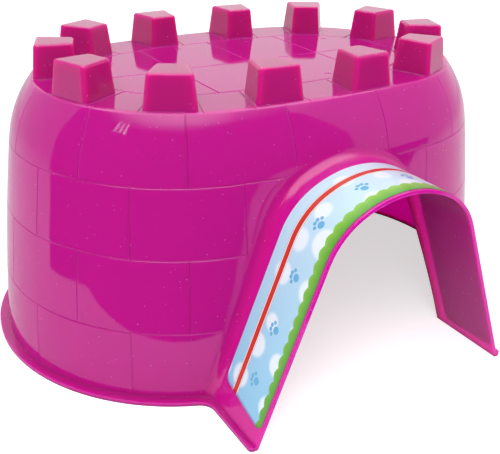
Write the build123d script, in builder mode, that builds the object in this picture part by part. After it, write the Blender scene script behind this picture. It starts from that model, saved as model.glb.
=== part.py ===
from build123d import *
import math
import os

# A rabbit-size hideaway in the shape of a round castle keep. It is one moulded plastic shell,
# open underneath, with an arched entrance tunnel, and one printed label stuck over the tunnel.
# Millimetres, +Z up. The origin is the middle of the footprint on the floor, and the tunnel
# faces -Y. The oval keep has its own middle, a little behind the origin.

# Roof plan: an oval of four tangent arcs
ROOF_LENGTH = 328.0
ROOF_WIDTH = 216.0
SIDE_BOW = 4.0  # how much half the width exceeds the radius of the ends
ROOF_HEIGHT = 189.5
ROOF_EDGE = 3.0  # rounding of the edge between the roof and the shoulder

# Wall and shoulder: how far they stand out from the roof edge, and how they lean
FOOT_SPREAD = 34.6
FOOT_LEAN = 3.4
SHOULDER_HEIGHT = 147.3
SHOULDER_SPREAD = 18.9
ROOF_LEAN = 39.5  # of the shoulder where it meets the roof
WALL = 2.4

# Foot flange all round, narrower beside the tunnel
FLANGE_THICKNESS = 2.8
FLANGE_WIDTH = 6.6
TUNNEL_FLANGE_WIDTH = 3.2
FLANGE_INNER_CORNER = 11.0
FLANGE_FRONT_CORNER = 3.0

# Entrance tunnel: an upturned V with a rounded crown
TUNNEL_REACH = 190.8  # from the middle of the keep to the open end
ARCH_WIDTH = 209.2
ARCH_HEIGHT = 153.0
LEG_LEAN = 21.5
CROWN_RADIUS = 72.3
CROWN_TURN = 60.0
TUNNEL_FILLET = 8.0

# Battlements
MERLON_COUNT = 12
MERLON_HEIGHT = 23.0
MERLON_OUTER_WIDTH = 35.5
MERLON_INNER_WIDTH = 24.0
MERLON_DEPTH = 31.0
MERLON_SETBACK = 2.6
MERLON_DRAFT = 5.5
MERLON_CORNER = 2.6
MERLON_CROWN_EDGE = 2.0
MERLON_SINK = 3.0  # how far its outside runs down into the shoulder

# Engraved blocks
COURSE_HEIGHTS = (49.8, 100.5, SHOULDER_HEIGHT)
BLOCKS_ROUND = 14
GROOVE_WIDTH = 1.1
GROOVE_DEPTH = 0.5
JOINT_WIDTH = 1.0
JOINT_DEPTH = 0.4

# Slab joints in the roof: a ring, joints across inside it, and one beside each merlon's side
RING_INSET = 38.0
SLAB_JOINTS = (-62.0, 0.0, 62.0)
SLAB_JOINT_WIDTH = 1.2
SLAB_JOINT_DEPTH = 0.6
FLANK_GAP = 2.4
FLANK_RUN = 1.3  # how far it runs, as a share of the merlon's depth

# Ejector pin marks on the roof
PIN_DIAMETER = 5.0
PIN_DEPTH = 0.35
PIN_SPOTS = ((32.0, 58.0), (97.0, 39.0))

# Printed label over the tunnel
LABEL_THICKNESS = 0.2
LABEL_GLUE = 0.05
LABEL_FRONT_MARGIN = 2.2
LABEL_WIDTH = 48.0
LABEL_LEFT_ENDS = (11.6, 20.0)  # height of its lower edge at the front and at the rear
LABEL_RIGHT_ENDS = (9.3, 6.5)
LABEL_CORNER = 5.0

# Room that a cutting shape has past the skin that it cuts
OVERCUT = 1.0

# Plan arcs at the roof edge, worked out from the sizes above
HALF_LENGTH = ROOF_LENGTH / 2
HALF_WIDTH = ROOF_WIDTH / 2
END_RADIUS = HALF_WIDTH - SIDE_BOW
END_X = HALF_LENGTH - END_RADIUS
SIDE_RADIUS = (END_X**2 + HALF_WIDTH**2 - END_RADIUS**2) / (2 * SIDE_BOW)
SIDE_Y = SIDE_RADIUS - HALF_WIDTH
END_ANGLE = math.degrees(math.atan2(SIDE_Y, END_X))
SIDE_ANGLE = 90 - END_ANGLE
CORE_SPREAD = -END_RADIUS / 2
DIG = 4 * WALL  # how far the hollow's cutter reaches below the floor

# The keep's middle, so that the origin is the middle of the footprint
KEEP_Y = (TUNNEL_REACH - HALF_WIDTH - FOOT_SPREAD - FLANGE_WIDTH) / 2
FRONT_Y = KEEP_Y - TUNNEL_REACH

# Each plan arc: its centre, its radius at the roof edge, and where it starts and turns
SECTORS = (
    ((0, KEEP_Y + SIDE_Y), SIDE_RADIUS, -90 - SIDE_ANGLE, 2 * SIDE_ANGLE),
    ((END_X, KEEP_Y), END_RADIUS, -END_ANGLE, 2 * END_ANGLE),
    ((0, KEEP_Y - SIDE_Y), SIDE_RADIUS, 90 - SIDE_ANGLE, 2 * SIDE_ANGLE),
    ((-END_X, KEEP_Y), END_RADIUS, 180 - END_ANGLE, 2 * END_ANGLE),
)

FOOT_SLOPE = math.tan(math.radians(FOOT_LEAN))
BELLY = (FOOT_SPREAD - SHOULDER_SPREAD - FOOT_SLOPE * SHOULDER_HEIGHT) / SHOULDER_HEIGHT**2
SHOULDER_RISE = ROOF_HEIGHT - SHOULDER_HEIGHT
SHOULDER_SLOPE = FOOT_SLOPE + 2 * BELLY * SHOULDER_HEIGHT
SHOULDER_MEAN = SHOULDER_SPREAD / SHOULDER_RISE
ROOF_SLOPE = math.tan(math.radians(ROOF_LEAN))
SWELL = 6 * (SHOULDER_MEAN - SHOULDER_SLOPE) - 2 * (ROOF_SLOPE - SHOULDER_SLOPE)


def slope_at(height):
    """How fast the outside draws in with height: a straight line's worth on the wall."""
    if height <= SHOULDER_HEIGHT:
        return FOOT_SLOPE + 2 * BELLY * height
    part = (height - SHOULDER_HEIGHT) / SHOULDER_RISE
    return (
        SHOULDER_SLOPE
        + SWELL * part
        + (ROOF_SLOPE - SHOULDER_SLOPE - SWELL) * part**2
    )


def spread_at(height):
    """How far the outside stands out from the roof edge at a height."""
    if height <= SHOULDER_HEIGHT:
        return FOOT_SPREAD - (FOOT_SLOPE + BELLY * height) * height
    part = (height - SHOULDER_HEIGHT) / SHOULDER_RISE
    drawn_in = (
        SHOULDER_SLOPE * part
        + SWELL * part**2 / 2
        + (ROOF_SLOPE - SHOULDER_SLOPE - SWELL) * part**3 / 3
    )
    return SHOULDER_SPREAD - SHOULDER_RISE * drawn_in


def skin(radius, bottom, top, growth):
    """Line of the keep's outside between two heights, grown square to itself."""
    low, high = (Vector(radius + spread_at(z), z) for z in (bottom, top))
    low_way, high_way = (Vector(-slope_at(z), 1) for z in (bottom, top))
    grown_low = low + Vector(1, -low_way.X).normalized() * growth
    grown_high = high + Vector(1, -high_way.X).normalized() * growth
    third = (top - bottom) / 3 * (grown_high - grown_low).length / (high - low).length
    return Bezier(
        grown_low,
        grown_low + low_way * third,
        grown_high - high_way * third,
        grown_high,
    )


def oval(spread):
    """Oval face, a distance outside the roof edge."""
    with BuildSketch() as plan:
        with BuildLine():
            for centre, radius, start, turn in SECTORS:
                CenterArc(centre, radius + spread, start, turn)
        make_face()
    return plan.sketch


def outward(direction):
    """Level unit vector in a direction in degrees."""
    return Vector(math.cos(math.radians(direction)), math.sin(math.radians(direction)), 0)


def upright(centre, direction):
    """Upright plane through a plan arc's centre, its x axis pointing in a direction."""
    out = outward(direction)
    return Plane(origin=centre, x_dir=out, z_dir=out.cross(Vector(0, 0, 1)))


def facing(share, spread):
    """Sector and direction of the spot at a share of the way round from the front middle."""
    side = (SIDE_RADIUS + spread) * math.radians(SIDE_ANGLE)
    end = (END_RADIUS + spread) * math.radians(END_ANGLE)
    quarter = math.floor(share * 4) % 4
    along = (share * 4) % 1
    from_side = (along if quarter % 2 == 0 else 1 - along) * (side + end)
    if from_side <= side:
        turn = SIDE_ANGLE * from_side / side
    else:
        turn = SIDE_ANGLE + END_ANGLE * (from_side - side) / end
    direction = 90 * (quarter - 1) + (turn if quarter % 2 == 0 else 90 - turn)
    for centre, radius, start, sweep in SECTORS:
        if (direction - start) % 360 <= sweep:
            return centre, radius, direction
    return SECTORS[0][0], SIDE_RADIUS, direction


def ring(section):
    """Solid that a section makes as it goes round the oval. It is given each arc's radius."""
    with BuildPart() as body:
        for centre, radius, start, turn in SECTORS:
            with BuildSketch(upright(centre, start)):
                add(section(radius))
            revolve(axis=Axis(centre, (0, 0, 1)), revolution_arc=turn)
    return body.part


def keep_section(radius, floor, inset):
    """Section of the keep from its outside in to its core, set in by the wall if asked."""
    core = radius + CORE_SPREAD - WALL
    with BuildSketch() as section:
        with BuildLine():
            wall = skin(radius, floor, SHOULDER_HEIGHT, -inset)
            shoulder = skin(radius, SHOULDER_HEIGHT, ROOF_HEIGHT, -inset)
            Polyline(
                shoulder @ 1,
                (core, (shoulder @ 1).Y),
                (core, (wall @ 0).Y),
                wall @ 0,
            )
        make_face()
        if inset:
            with Locations((core, ROOF_HEIGHT - inset)):
                Rectangle(
                    2 * END_RADIUS,
                    2 * WALL,
                    align=(Align.CENTER, Align.MIN),
                    mode=Mode.SUBTRACT,
                )
        top = section.edges().sort_by(Axis.Y)[-1]
        fillet(top.vertices().sort_by(Axis.X)[-1], ROOF_EDGE - inset)
    return section.sketch


def keep_solid(floor, inset):
    """The keep as a solid, or the hollow inside it when it is set in by the wall."""
    with BuildPart() as keep:
        add(ring(lambda radius: keep_section(radius, floor, inset)))
        with BuildSketch(Plane.XY.offset(ROOF_HEIGHT - inset)):
            add(oval(CORE_SPREAD))
        extrude(amount=floor + inset - ROOF_HEIGHT)
    return keep.part


def arch(growth):
    """Face of the tunnel's end on the XZ plane, legs run on below the floor."""
    lean = math.radians(LEG_LEAN)
    half_turn = math.radians(CROWN_TURN / 2)
    foot = ARCH_WIDTH / 2
    joint = Vector(math.sin(half_turn), math.cos(half_turn)) * CROWN_RADIUS
    joint += Vector(0, ARCH_HEIGHT - CROWN_RADIUS)
    leg_normal = Vector(math.cos(lean), math.sin(lean))
    joint_normal = Vector(math.sin(half_turn), math.cos(half_turn))
    haunch_radius = (foot * math.cos(lean) - leg_normal.dot(joint)) / (
        1 - leg_normal.dot(joint_normal)
    )
    haunch = joint - joint_normal * haunch_radius
    top = haunch + leg_normal * haunch_radius
    low = Vector(foot + DIG * math.tan(lean), -DIG)
    with BuildSketch() as face:
        with BuildLine():
            CenterArc((0, ARCH_HEIGHT - CROWN_RADIUS), CROWN_RADIUS, 90 - CROWN_TURN / 2, CROWN_TURN)
            CenterArc(haunch, haunch_radius, LEG_LEAN, 90 - CROWN_TURN / 2 - LEG_LEAN)
            CenterArc(
                (-haunch.X, haunch.Y),
                haunch_radius,
                90 + CROWN_TURN / 2,
                90 - CROWN_TURN / 2 - LEG_LEAN,
            )
            Polyline(top, low, (-low.X, low.Y), (-top.X, top.Y))
        make_face()
        if growth:
            offset(amount=growth, mode=Mode.REPLACE)
    return face.sketch


def tunnel_solid(growth, front, rear):
    """The tunnel's solid between two places along Y, its outline grown by an amount."""
    with BuildPart() as tunnel:
        with BuildSketch(Plane.XZ.offset(-rear)):
            add(arch(growth))
        extrude(amount=rear - front)
    return tunnel.part


def merlon_solid(inset):
    """One tapered battlement on the roof plane, facing +X from the roof edge at the origin."""
    sink = MERLON_SINK if inset == 0 else WALL + OVERCUT
    with BuildPart() as merlon:
        with BuildSketch(Plane.XY.offset(ROOF_HEIGHT - sink)):
            with BuildLine():
                Polyline(
                    (-MERLON_SETBACK, -MERLON_OUTER_WIDTH / 2),
                    (-MERLON_SETBACK, MERLON_OUTER_WIDTH / 2),
                    (-MERLON_SETBACK - MERLON_DEPTH, MERLON_INNER_WIDTH / 2),
                    (-MERLON_SETBACK - MERLON_DEPTH, -MERLON_INNER_WIDTH / 2),
                    close=True,
                )
            make_face()
            growth = sink * math.tan(math.radians(MERLON_DRAFT)) - inset
            offset(amount=growth, kind=Kind.INTERSECTION, mode=Mode.REPLACE)
        extrude(amount=MERLON_HEIGHT + sink - inset, taper=MERLON_DRAFT)
        fillet(merlon.edges().filter_by(Axis.Z, tolerance=2 * MERLON_DRAFT), MERLON_CORNER)
        fillet(merlon.faces().sort_by(Axis.Z)[-1].edges(), MERLON_CROWN_EDGE)
    return merlon.part


def course_joint(centre, radius, direction, bottom, top):
    """Cutter for one upright joint between blocks, on the outside of the wall."""
    turn = math.degrees(JOINT_WIDTH / (radius + spread_at((bottom + top) / 2)))
    with BuildPart() as joint:
        with BuildSketch(upright(centre, direction - turn / 2)):
            with BuildLine():
                inner = skin(radius, bottom, top, -JOINT_DEPTH)
                outer = skin(radius, bottom, top, OVERCUT)
                Line(inner @ 0, outer @ 0)
                Line(inner @ 1, outer @ 1)
            make_face()
        revolve(axis=Axis(centre, (0, 0, 1)), revolution_arc=turn)
    return joint.part


def course_groove(radius, height):
    """Section of one level groove round the wall, a V with its point inwards."""
    surface = radius + spread_at(height)
    flare = GROOVE_WIDTH / 2 * (GROOVE_DEPTH + OVERCUT) / GROOVE_DEPTH
    with BuildSketch() as section:
        with BuildLine():
            Polyline(
                (surface - GROOVE_DEPTH, height),
                (surface + OVERCUT, height - flare),
                (surface + OVERCUT, height + flare),
                close=True,
            )
        make_face()
    return section.sketch


def strip(start, end, width):
    """Straight strip of a width between two points, added to the open sketch."""
    run = end - start
    with Locations((start + end) / 2):
        Rectangle(run.length, width, rotation=math.degrees(math.atan2(run.Y, run.X)))


def merlon_spots():
    """Plan planes at the roof edge, one for each battlement, their x axes pointing outwards."""
    for number in range(MERLON_COUNT):
        centre, radius, direction = facing((number + 0.5) / MERLON_COUNT, 0)
        out = outward(direction)
        yield Plane(origin=Vector(*centre) + out * radius, x_dir=out, z_dir=(0, 0, 1))


# The keep and its tunnel, solid, with the junction rounded
keep = keep_solid(0, 0)
with BuildPart() as tunnel:
    add(tunnel_solid(0, FRONT_Y, KEEP_Y))
    split(bisect_by=Plane.XY, keep=Keep.TOP)
with BuildPart() as body:
    add(keep)
    add(tunnel.part)
    fillet(new_edges(keep, tunnel.part, combined=body.part), TUNNEL_FILLET)

# Foot flange, rounded where it turns on to the tunnel and at its front corners
with BuildPart() as flange:
    with BuildSketch() as foot:
        add(oval(FOOT_SPREAD + FLANGE_WIDTH))
        with Locations((0, FRONT_Y)):
            Rectangle(
                ARCH_WIDTH + 2 * TUNNEL_FLANGE_WIDTH,
                TUNNEL_REACH,
                align=(Align.CENTER, Align.MIN),
            )
        fillet(foot.vertices().group_by(Axis.Y)[1], FLANGE_INNER_CORNER)
        fillet(foot.vertices().group_by(Axis.Y)[0], FLANGE_FRONT_CORNER)
    extrude(amount=FLANGE_THICKNESS)

# Level grooves and upright joints between the blocks, kept off the tunnel
with BuildPart() as engraving:
    for height in COURSE_HEIGHTS:
        add(ring(lambda radius: course_groove(radius, height)))
    edges = (FLANGE_THICKNESS, *COURSE_HEIGHTS, ROOF_HEIGHT)
    for course, (bottom, top) in enumerate(zip(edges, edges[1:])):
        for block in range(BLOCKS_ROUND):
            share = (block + course % 2 / 2) / BLOCKS_ROUND
            centre, radius, direction = facing(share, spread_at(ROOF_HEIGHT / 2))
            add(course_joint(centre, radius, direction, bottom, top))
    add(
        tunnel_solid(TUNNEL_FILLET + OVERCUT, FRONT_Y, KEEP_Y - HALF_WIDTH / 2),
        mode=Mode.SUBTRACT,
    )

# Joints between the roof slabs
with BuildSketch(Plane.XY.offset(ROOF_HEIGHT)) as slab_joints:
    for spot in merlon_spots():
        for side in (-1, 1):
            outer = Vector(OVERCUT, side * (MERLON_OUTER_WIDTH / 2 + FLANK_GAP))
            inner = Vector(
                -MERLON_SETBACK - MERLON_DEPTH,
                side * (MERLON_INNER_WIDTH / 2 + FLANK_GAP),
            )
            past = outer + (inner - outer) * FLANK_RUN
            strip(
                spot.from_local_coords(past),
                spot.from_local_coords(outer),
                SLAB_JOINT_WIDTH,
            )
    add(oval(-RING_INSET), mode=Mode.SUBTRACT)
    add(oval(OVERCUT), mode=Mode.INTERSECT)
    with BuildSketch(mode=Mode.PRIVATE) as middle:
        with Locations((0, KEEP_Y)):
            Rectangle(ROOF_LENGTH, SLAB_JOINT_WIDTH)
        with Locations(*((x, KEEP_Y) for x in SLAB_JOINTS)):
            Rectangle(SLAB_JOINT_WIDTH, ROOF_WIDTH)
        add(oval(-RING_INSET), mode=Mode.INTERSECT)
        add(oval(SLAB_JOINT_WIDTH / 2 - RING_INSET) - oval(-SLAB_JOINT_WIDTH / 2 - RING_INSET))
    add(middle.sketch)
with BuildSketch(Plane.XY.offset(ROOF_HEIGHT)) as pins:
    for x, y in PIN_SPOTS:
        with Locations(*((a * x, KEEP_Y + b * y) for a in (-1, 1) for b in (-1, 1))):
            Circle(PIN_DIAMETER / 2)

# The moulded shell: all of it solid, then hollowed and engraved
with BuildPart() as shell:
    add(body.part)
    add(flange.part)
    for spot in merlon_spots():
        add(spot * merlon_solid(0))
    add(keep_solid(-DIG, WALL), mode=Mode.SUBTRACT)
    add(tunnel_solid(-WALL, FRONT_Y - OVERCUT, KEEP_Y), mode=Mode.SUBTRACT)
    for spot in merlon_spots():
        add(spot * merlon_solid(WALL), mode=Mode.SUBTRACT)
    add(engraving.part, mode=Mode.SUBTRACT)
    extrude(slab_joints.sketch, amount=-SLAB_JOINT_DEPTH, mode=Mode.SUBTRACT)
    extrude(pins.sketch, amount=-PIN_DEPTH, mode=Mode.SUBTRACT)

# The label, wrapped over the tunnel just behind its open end
LABEL_FRONT = FRONT_Y + LABEL_FRONT_MARGIN
LABEL_REAR = LABEL_FRONT + LABEL_WIDTH
with BuildPart() as outline:
    for side, (front_end, rear_end) in ((-1, LABEL_LEFT_ENDS), (1, LABEL_RIGHT_ENDS)):
        with BuildSketch(Plane.YZ):
            with BuildLine():
                Polyline(
                    (LABEL_FRONT, ARCH_HEIGHT + OVERCUT),
                    (LABEL_FRONT, front_end),
                    (LABEL_REAR, rear_end),
                    (LABEL_REAR, ARCH_HEIGHT + OVERCUT),
                    close=True,
                )
            ends = make_face()
            fillet(ends.vertices().sort_by(Axis.Z)[:2], LABEL_CORNER)
        extrude(amount=side * ARCH_WIDTH)
with BuildPart() as label:
    add(tunnel_solid(LABEL_GLUE + LABEL_THICKNESS, LABEL_FRONT, LABEL_REAR))
    add(
        tunnel_solid(LABEL_GLUE, LABEL_FRONT - OVERCUT, LABEL_REAR + OVERCUT),
        mode=Mode.SUBTRACT,
    )
    add(outline.part, mode=Mode.INTERSECT)

os.makedirs("parts", exist_ok=True)
for name, piece in (("shell", shell), ("label", label)):
    piece.part.label = name
    export_step(piece.part, f"parts/{name}.step")
    size = piece.part.bounding_box()
    print(name, "valid", piece.part.is_valid, "solids", len(piece.part.solids()))
    print(f"  volume {piece.part.volume:.0f} from {size.min} to {size.max}")
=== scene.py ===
import math

import bpy
from mathutils import Matrix, Vector


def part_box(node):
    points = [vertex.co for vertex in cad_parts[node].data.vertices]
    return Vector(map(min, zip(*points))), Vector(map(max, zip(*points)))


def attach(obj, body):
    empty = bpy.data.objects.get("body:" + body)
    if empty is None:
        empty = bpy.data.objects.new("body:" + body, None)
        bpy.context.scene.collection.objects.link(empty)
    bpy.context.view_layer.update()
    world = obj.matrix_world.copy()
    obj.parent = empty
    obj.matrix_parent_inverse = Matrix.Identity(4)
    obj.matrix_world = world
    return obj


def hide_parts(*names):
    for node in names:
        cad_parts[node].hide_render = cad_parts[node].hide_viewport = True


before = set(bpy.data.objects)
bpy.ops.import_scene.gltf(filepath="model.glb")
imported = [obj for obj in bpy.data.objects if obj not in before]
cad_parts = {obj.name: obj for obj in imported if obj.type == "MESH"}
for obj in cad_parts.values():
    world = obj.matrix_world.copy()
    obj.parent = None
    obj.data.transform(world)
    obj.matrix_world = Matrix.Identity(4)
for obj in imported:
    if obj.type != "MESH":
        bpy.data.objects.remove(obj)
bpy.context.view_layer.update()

# The shell: keep, battlements, tunnel and foot flange in one injection moulding of translucent
# magenta plastic, left glossy by a polished mould, with fine pale glitter stirred into it.
# Light soaks through its thin wall, so the inside glows and cut edges look brighter.
MAGENTA = (0.62, 0.008, 0.256, 1)
SHADED_BATTLEMENT_MAGENTA = (0.53, 0.011, 0.180, 1)  # painted shade: darker and redder on the battlements, for less light through them
ROOF_HEIGHT = 0.1895
BATTLEMENT_SHADE_START = ROOF_HEIGHT - 0.001
BATTLEMENT_SHADE_END = ROOF_HEIGHT + 0.003
GLITTER_PINK = (0.90, 0.40, 0.68, 1)
GLITTER_PER_METRE = 240
GLITTER_SIZE = 0.066
RIPPLES_PER_METRE = 14
RIPPLE_STRENGTH = 0.12
RIPPLE_DEPTH = 0.001
EDGE_ROUNDING = 0.0006
POLISHED_ROUGHNESS = 0.06
PLASTIC_IOR = 1.5
SOAK_DEPTH = 0.018
SOAK_BY_COLOUR = (1.0, 0.2, 0.8)


def new_material(name):
    """A material with only its surface shader, ready for nodes."""
    material = bpy.data.materials.new(name)
    material.use_nodes = True
    tree = material.node_tree
    return material, tree, tree.nodes["Principled BSDF"]


def node(tree, kind, inputs=(), **settings):
    """A node with its settings, and its inputs set to values or fed from other sockets."""
    made = tree.nodes.new(kind)
    for key, value in settings.items():
        setattr(made, key, value)
    for socket, value in dict(inputs).items():
        if isinstance(value, bpy.types.NodeSocket):
            tree.links.new(value, made.inputs[socket])
        else:
            made.inputs[socket].default_value = value
    return made


def maths(tree, operation, *values):
    """The result of a sum on numbers or sockets."""
    return node(tree, "ShaderNodeMath", enumerate(values), operation=operation).outputs[0]


def mixed(tree, share, first, second):
    """A colour between two others."""
    mix = node(tree, "ShaderNodeMix", {0: share, 6: first, 7: second}, data_type="RGBA")
    return mix.outputs[2]


def ranged(tree, value, low, high, first=0.0, last=1.0, step="LINEAR"):
    """A value moved from one range to another, and held at its ends."""
    limits = {"From Min": low, "From Max": high, "To Min": first, "To Max": last}
    return node(
        tree, "ShaderNodeMapRange", {"Value": value, **limits}, interpolation_type=step
    ).outputs[0]


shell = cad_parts["shell"]
plastic, tree, surface = new_material("translucent_magenta_plastic")
place = node(tree, "ShaderNodeTexCoord").outputs["Object"]
flakes = node(tree, "ShaderNodeTexVoronoi", {"Vector": place, "Scale": GLITTER_PER_METRE})
near_flake = maths(tree, "LESS_THAN", flakes.outputs["Distance"], GLITTER_SIZE)
flake_glint = node(tree, "ShaderNodeSeparateColor", {0: flakes.outputs["Color"]}).outputs[0]
flake = maths(tree, "MULTIPLY", near_flake, flake_glint)
height = node(tree, "ShaderNodeSeparateXYZ", {0: place}).outputs[2]
# Painted shade: above the roof the colour turns darker and redder, standing in for the less
# light that comes through the battlements from their dark hollow insides.
battlement_shade = ranged(tree, height, BATTLEMENT_SHADE_START, BATTLEMENT_SHADE_END)
shaded_tint = mixed(tree, battlement_shade, MAGENTA, SHADED_BATTLEMENT_MAGENTA)
tree.links.new(mixed(tree, flake, shaded_tint, GLITTER_PINK), surface.inputs["Base Color"])

ripple = node(tree, "ShaderNodeTexNoise", {"Vector": place, "Scale": RIPPLES_PER_METRE})
rounded = node(tree, "ShaderNodeBevel", {"Radius": EDGE_ROUNDING}, samples=6)
bump = node(
    tree,
    "ShaderNodeBump",
    {
        "Strength": RIPPLE_STRENGTH,
        "Distance": RIPPLE_DEPTH,
        "Height": ripple.outputs[0],
        "Normal": rounded.outputs[0],
    },
)
tree.links.new(bump.outputs[0], surface.inputs["Normal"])
surface.inputs["Roughness"].default_value = POLISHED_ROUGHNESS
surface.inputs["IOR"].default_value = PLASTIC_IOR
surface.inputs["Subsurface Weight"].default_value = 1.0
surface.inputs["Subsurface Radius"].default_value = SOAK_BY_COLOUR
surface.inputs["Subsurface Scale"].default_value = SOAK_DEPTH
shell.data.materials.clear()
shell.data.materials.append(plastic)

# The label: a printed film wrapped over the tunnel just behind its open end, from low on one
# leg to low on the other. Its print has a pale blue ground with soft bubbles and a row of paws,
# one red stripe with thin outlines, and a scalloped green border along the front edge.
ARCH_FOOT = 0.1046
ARCH_HEIGHT = 0.153
LEG_LEAN = math.radians(21.5)
CROWN_RADIUS = 0.0723
CROWN_HALF_TURN = math.radians(30)
FILM_LIFT = 0.00005
FILM_THICKNESS = 0.0002
FILM_CORNER = 0.005
LEFT_ENDS = (0.0116, 0.020)
RIGHT_ENDS = (0.0093, 0.0065)
ROWS, COLUMNS = 40, 160

low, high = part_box("label")
film_front, film_width = low.y, high.y - low.y
crown_centre = Vector((0, 0, ARCH_HEIGHT - CROWN_RADIUS))
crown_end = Vector((math.sin(CROWN_HALF_TURN), 0, math.cos(CROWN_HALF_TURN)))
leg_out = Vector((math.cos(LEG_LEAN), 0, math.sin(LEG_LEAN)))
leg_down = Vector((math.sin(LEG_LEAN), 0, -math.cos(LEG_LEAN)))
crown_corner = crown_centre + crown_end * CROWN_RADIUS
haunch_radius = (ARCH_FOOT * math.cos(LEG_LEAN) - leg_out.dot(crown_corner)) / (
    1 - leg_out.dot(crown_end)
)
haunch_centre = crown_corner - crown_end * haunch_radius
haunch_turn = math.pi / 2 - LEG_LEAN - CROWN_HALF_TURN
crown_run = CROWN_RADIUS * CROWN_HALF_TURN
haunch_run = haunch_radius * haunch_turn
leg_top = haunch_centre + leg_out * haunch_radius
leg_run = leg_top.z / math.cos(LEG_LEAN)
half_run = crown_run + haunch_run + leg_run


def over_tunnel(run):
    """Point on the tunnel's outside and its normal, a distance round from the crown's top."""
    side, along = math.copysign(1, run), abs(run)
    if along < crown_run:
        turn = along / CROWN_RADIUS
        out = Vector((math.sin(turn), 0, math.cos(turn)))
        point = crown_centre + out * CROWN_RADIUS
    elif along < crown_run + haunch_run:
        turn = CROWN_HALF_TURN + (along - crown_run) / haunch_radius
        out = Vector((math.sin(turn), 0, math.cos(turn)))
        point = haunch_centre + out * haunch_radius
    else:
        out = leg_out
        point = leg_top + leg_down * (along - crown_run - haunch_run)
    return Vector((side * point.x, 0, point.z)), Vector((side * out.x, 0, out.z))


def film_end(across, ends):
    """How far down a leg the film reaches at a place across it, with its rounded corners."""
    height = ends[0] + (ends[1] - ends[0]) * across / film_width
    from_edge = min(across, film_width - across)
    cut = FILM_CORNER - min(from_edge, FILM_CORNER)
    corner = FILM_CORNER - math.sqrt(FILM_CORNER**2 - cut**2)
    return half_run - height / math.cos(LEG_LEAN) - corner


points, print_places, faces = [], [], []
for row in range(ROWS + 1):
    across = film_width * (1 - math.cos(math.pi * row / ROWS)) / 2
    start, end = -film_end(across, LEFT_ENDS), film_end(across, RIGHT_ENDS)
    for column in range(COLUMNS + 1):
        run = start + (end - start) * column / COLUMNS
        point, out = over_tunnel(run)
        points.append(point + out * FILM_LIFT + Vector((0, film_front + across, 0)))
        print_places.append((run, across))
        if row and column:
            last = len(points) - 1
            above = last - COLUMNS - 1
            faces.append((above - 1, above, last, last - 1))
film_mesh = bpy.data.meshes.new("printed_film")
film_mesh.from_pydata(points, [], faces)
film_map = film_mesh.uv_layers.new(name="print")
for loop in film_mesh.loops:
    film_map.data[loop.index].uv = print_places[loop.vertex_index]
film_mesh.shade_smooth()
film = bpy.data.objects.new("printed_film", film_mesh)
bpy.context.scene.collection.objects.link(film)
body = film.modifiers.new("thickness", "SOLIDIFY")
body.thickness = FILM_THICKNESS
body.offset = 1

printed, tree, surface = new_material("printed_film")
SKY_BLUE = (0.22, 0.55, 0.78, 1)
MIST_BLUE = (0.60, 0.80, 0.90, 1)
BUBBLE_PALE = (0.80, 0.90, 0.95, 1)
BUBBLES_PER_METRE = 40
BUBBLE_SIZE = 0.44
SMALLEST_BUBBLE = 0.6 * BUBBLE_SIZE
BUBBLE_FADE = 0.3 * BUBBLE_SIZE
BUBBLE_EVENNESS = 0.5
BUBBLE_STRENGTH = 0.85
PAW_BLUE = (0.13, 0.43, 0.68, 1)
PAW_SPACING = 0.036
PAW_PLACE = 0.0205
PAW_PADS = (
    (0, -0.0014, 0.0026),
    (-0.0038, 0.0016, 0.0013),
    (-0.0014, 0.0036, 0.0014),
    (0.0014, 0.0036, 0.0014),
    (0.0038, 0.0016, 0.0013),
)
STRIPE_RED = (0.60, 0.040, 0.014, 1)
STRIPE_OUTLINE = (0.50, 0.42, 0.38, 1)
STRIPE_PLACE = 0.0350
STRIPE_WIDTH = 0.0042
STRIPE_MARGIN = 0.0006
OUTLINE_WIDTH = 0.0004
GRASS_GREEN = (0.07, 0.34, 0.03, 1)
LEAF_GREEN = (0.26, 0.55, 0.06, 1)
BORDER_LOW, BORDER_CROWN = 0.0035, 0.0085
SCALLOP_LENGTH = 0.009
SCALLOP_DEPTH = 0.0018
LEAFINESS = 1.25
SATIN_ROUGHNESS = 0.2
spot = node(tree, "ShaderNodeUVMap", uv_map="print").outputs[0]
split = node(tree, "ShaderNodeSeparateXYZ", {0: spot})
along, across = split.outputs[0], split.outputs[1]
from_crown = maths(tree, "ABSOLUTE", along)
lowness = maths(tree, "DIVIDE", from_crown, half_run)
ground = mixed(tree, lowness, MIST_BLUE, SKY_BLUE)
cells = node(
    tree,
    "ShaderNodeTexVoronoi",
    {"Vector": spot, "Scale": BUBBLES_PER_METRE, "Randomness": BUBBLE_EVENNESS},
    voronoi_dimensions="2D",
)
luck = node(tree, "ShaderNodeSeparateColor", {0: cells.outputs["Color"]}).outputs[0]
reach = ranged(tree, luck, 0, 1, SMALLEST_BUBBLE, BUBBLE_SIZE)
inside = maths(tree, "SUBTRACT", reach, cells.outputs["Distance"])
bubble = ranged(tree, inside, 0, BUBBLE_FADE, 0, BUBBLE_STRENGTH, "SMOOTHSTEP")
ground = mixed(tree, bubble, ground, BUBBLE_PALE)
repeat = maths(tree, "FLOORED_MODULO", along, PAW_SPACING)
beside_paw = maths(tree, "SUBTRACT", repeat, PAW_SPACING / 2)
past_paw = maths(tree, "SUBTRACT", across, PAW_PLACE)
paw_spot = node(tree, "ShaderNodeCombineXYZ", {0: beside_paw, 1: past_paw}).outputs[0]
on_paw = 0
for beside, past, size in PAW_PADS:
    from_pad = node(
        tree, "ShaderNodeVectorMath", {0: paw_spot, 1: (beside, past, 0)}, operation="DISTANCE"
    ).outputs["Value"]
    on_paw = maths(tree, "MAXIMUM", on_paw, maths(tree, "LESS_THAN", from_pad, size))
ground = mixed(tree, on_paw, ground, PAW_BLUE)
from_stripe = maths(tree, "ABSOLUTE", maths(tree, "SUBTRACT", across, STRIPE_PLACE))
half_stripe = STRIPE_WIDTH / 2
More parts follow.
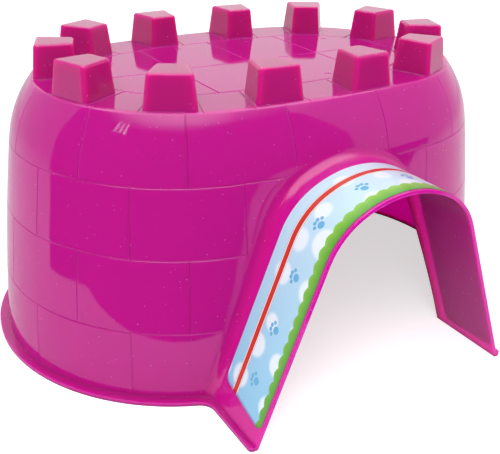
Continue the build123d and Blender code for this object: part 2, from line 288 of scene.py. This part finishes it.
outline_end = half_stripe + STRIPE_MARGIN + OUTLINE_WIDTH
on_outline = maths(tree, "LESS_THAN", from_stripe, outline_end)
ground = mixed(tree, on_outline, ground, STRIPE_OUTLINE)
on_margin = maths(tree, "LESS_THAN", from_stripe, half_stripe + STRIPE_MARGIN)
ground = mixed(tree, on_margin, ground, BUBBLE_PALE)
striped = mixed(tree, maths(tree, "LESS_THAN", from_stripe, half_stripe), ground, STRIPE_RED)
wave = maths(tree, "SINE", maths(tree, "MULTIPLY", along, math.pi / SCALLOP_LENGTH))
border = ranged(tree, along, -half_run, 0, BORDER_LOW, BORDER_CROWN)
edge = maths(tree, "MULTIPLY_ADD", maths(tree, "ABSOLUTE", wave), SCALLOP_DEPTH, border)
on_border = maths(tree, "LESS_THAN", across, edge)
depth = maths(tree, "DIVIDE", across, edge)
leafiness = maths(tree, "MULTIPLY", depth, maths(tree, "SUBTRACT", LEAFINESS, lowness))
green = mixed(tree, leafiness, GRASS_GREEN, LEAF_GREEN)
tree.links.new(mixed(tree, on_border, striped, green), surface.inputs["Base Color"])
surface.inputs["Roughness"].default_value = SATIN_ROUGHNESS
film_mesh.materials.append(printed)
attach(film, "root")
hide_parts("label")

# The floor: white board under the object. In the shell's gloss it is painted dark past a line
# on the camera's side and one on the left, a painted reflection of a board that ends a little
# way out; the camera and the light see it go on. From below it is see-through.
FLOOR_SIZE = 6.0
FLOOR_WHITE = (0.85, 0.85, 0.85, 1)
FLOOR_LIFT = 0.62
FLOOR_DROP = 0.0001
BOARD_FRONT = 0.243
BOARD_TURN = math.radians(27)
BOARD_LEFT = -0.39
BOARD_CORNER = Vector((-0.409, 0.076, 0))
BOARD_SLANT = 0.493
REFLECTED_DARK = (0.02, 0.02, 0.02, 1)
bpy.ops.mesh.primitive_plane_add(size=FLOOR_SIZE)
floor = bpy.context.object
floor.name = "floor"
floor.location.z = -FLOOR_DROP
floor_paint, tree, surface = new_material("white_floor")
tree.nodes.remove(surface)
output = tree.nodes["Material Output"]
rays = node(tree, "ShaderNodeLightPath")
place = node(tree, "ShaderNodeTexCoord").outputs["Object"]
here = node(tree, "ShaderNodeSeparateXYZ", {0: place})
ahead = maths(tree, "MULTIPLY", here.outputs[0], -math.sin(BOARD_TURN))
ahead = maths(tree, "MULTIPLY_ADD", here.outputs[1], -math.cos(BOARD_TURN), ahead)
past_front = maths(tree, "GREATER_THAN", ahead, BOARD_FRONT)
past_left = maths(tree, "LESS_THAN", here.outputs[0], BOARD_LEFT)
slant = maths(tree, "MULTIPLY_ADD", here.outputs[0], BOARD_SLANT, here.outputs[1])
slant_end = BOARD_CORNER.y + BOARD_SLANT * BOARD_CORNER.x
past_left = maths(tree, "MULTIPLY", past_left, maths(tree, "LESS_THAN", slant, slant_end))
past_board = maths(tree, "MAXIMUM", past_front, past_left)
# Painted reflection: past these lines the floor is dark in the gloss only; the camera and the
# light still see it white.
painted_dark_reflection = maths(tree, "MULTIPLY", past_board, rays.outputs["Is Glossy Ray"])
white = mixed(tree, painted_dark_reflection, FLOOR_WHITE, REFLECTED_DARK)
matt = node(tree, "ShaderNodeBsdfDiffuse", {"Color": white})
lift = maths(tree, "MULTIPLY", rays.outputs["Is Camera Ray"], FLOOR_LIFT)
lift = node(tree, "ShaderNodeEmission", {"Strength": lift})
lit = node(tree, "ShaderNodeAddShader", {0: matt.outputs[0], 1: lift.outputs[0]})
clear = node(tree, "ShaderNodeBsdfTransparent")
from_below = node(tree, "ShaderNodeNewGeometry").outputs["Backfacing"]
paint = node(
    tree, "ShaderNodeMixShader", {0: from_below, 1: lit.outputs[0], 2: clear.outputs[0]}
)
tree.links.new(paint.outputs[0], output.inputs[0])
floor.data.materials.append(floor_paint)

# The room: white all round with a bright ceiling, but for a dark stretch behind the camera with
# a slatted window in it. These show only as mirror images in the gloss.
DARK_FROM = math.radians(141)
DARK_TO = math.radians(295)
DARK_FULL = math.sin(math.radians(42))
DARK_END = math.sin(math.radians(57))
CEILING_FROM = math.sin(math.radians(40))
CEILING_FULL = math.sin(math.radians(58))
CEILING_LIGHT = 3.2
SIDE_LIGHT = 0.62
BACK_LIGHT = 1.05
BACK_TURN = math.radians(31)
BACK_FROM, BACK_FULL = 0.5, 0.85
DARK_LIGHT = 0.04
WINDOW_LIGHT = 7
WINDOW_TURN = math.radians(254)
WINDOW_HALF = math.radians(6)
WINDOW_LOW = math.sin(math.radians(37))
WINDOW_HIGH = math.sin(math.radians(46))
SLAT_TURN = math.radians(4)
ROOM_FILL = 0.75
world = bpy.data.worlds.new("room")
bpy.context.scene.world = world
world.use_nodes = True
tree = world.node_tree
background = tree.nodes["Background"]
rays = node(tree, "ShaderNodeLightPath")
heading = node(tree, "ShaderNodeTexCoord").outputs["Generated"]
ray = node(tree, "ShaderNodeSeparateXYZ", {0: heading})
bearing = maths(tree, "ARCTAN2", ray.outputs[0], ray.outputs[1])
turned = maths(tree, "MODULO", maths(tree, "ADD", bearing, 2 * math.pi), 2 * math.pi)
in_dark = maths(tree, "GREATER_THAN", turned, DARK_FROM)
in_dark = maths(tree, "MULTIPLY", in_dark, maths(tree, "LESS_THAN", turned, DARK_TO))
below_ceiling = ranged(tree, ray.outputs[2], DARK_FULL, DARK_END, 1, 0, "SMOOTHSTEP")
in_dark = maths(tree, "MULTIPLY", in_dark, below_ceiling)
backward = maths(tree, "MULTIPLY", ray.outputs[0], math.sin(BACK_TURN))
backward = maths(tree, "MULTIPLY_ADD", ray.outputs[1], math.cos(BACK_TURN), backward)
walls = ranged(tree, backward, BACK_FROM, BACK_FULL, SIDE_LIGHT, BACK_LIGHT)
mirrored = ranged(
    tree, ray.outputs[2], CEILING_FROM, CEILING_FULL, walls, CEILING_LIGHT, "SMOOTHSTEP"
)
mirrored = node(
    tree, "ShaderNodeMix", {0: in_dark, 2: mirrored, 3: DARK_LIGHT}, data_type="FLOAT"
).outputs[0]
from_window = maths(tree, "ABSOLUTE", maths(tree, "SUBTRACT", turned, WINDOW_TURN))
slats = maths(tree, "SINE", maths(tree, "MULTIPLY", turned, 2 * math.pi / SLAT_TURN))
in_window = maths(tree, "MULTIPLY", maths(tree, "LESS_THAN", from_window, WINDOW_HALF), slats)
above_sill = maths(tree, "GREATER_THAN", ray.outputs[2], WINDOW_LOW)
in_window = maths(tree, "MULTIPLY", in_window, above_sill)
below_head = maths(tree, "LESS_THAN", ray.outputs[2], WINDOW_HIGH)
in_window = maths(tree, "MULTIPLY", in_window, below_head)
window = maths(tree, "MAXIMUM", maths(tree, "MULTIPLY", in_window, WINDOW_LIGHT), 0)
mirrored = maths(tree, "ADD", mirrored, window)
glossy = rays.outputs["Is Glossy Ray"]
seen = rays.outputs["Is Camera Ray"]
strength = maths(tree, "MULTIPLY_ADD", seen, 1 - ROOM_FILL, ROOM_FILL)
strength = node(
    tree, "ShaderNodeMix", {0: glossy, 2: strength, 3: mirrored}, data_type="FLOAT"
).outputs[0]
tree.links.new(strength, background.inputs["Strength"])
background.inputs["Color"].default_value = (1, 1, 1, 1)

# Two soft lamps, above on the left and, weaker, above on the right. They aren't seen in the
# gloss, which mirrors only the room and the floor.
for name, place, size, power in (
    ("lamp_left", Vector((-0.9, -0.9, 1.3)), 0.9, 14),
    ("lamp_right", Vector((1.1, -0.3, 1.2)), 0.9, 6),
):
    light = bpy.data.lights.new(name, "AREA")
    light.size = size
    light.energy = power
    lamp = bpy.data.objects.new(name, light)
    lamp.location = place
    lamp.rotation_euler = (place * -1).to_track_quat("-Z", "Y").to_euler()
    lamp.visible_glossy = False
    bpy.context.scene.collection.objects.link(lamp)

# The camera, close in front on the left and looking down on the roof. It was fitted to the
# photograph's outlines, so it also has a slight roll.
CAMERA_PLACE = Vector((-0.3031, -0.4890, 0.3343))
CAMERA_YAW = -0.5418
CAMERA_PITCH = 0.4483
CAMERA_ROLL = 0.0203
CAMERA_LENS = 56.45
view = bpy.data.cameras.new("camera")
view.sensor_width = 36
view.lens = CAMERA_LENS
camera = bpy.data.objects.new("camera", view)
camera.matrix_world = (
    Matrix.Translation(CAMERA_PLACE)
    @ Matrix.Rotation(CAMERA_YAW, 4, "Z")
    @ Matrix.Rotation(math.pi / 2 - CAMERA_PITCH, 4, "X")
    @ Matrix.Rotation(CAMERA_ROLL, 4, "Z")
)
bpy.context.scene.collection.objects.link(camera)
bpy.context.scene.camera = camera
bpy.context.scene.view_settings.view_transform = "Standard"
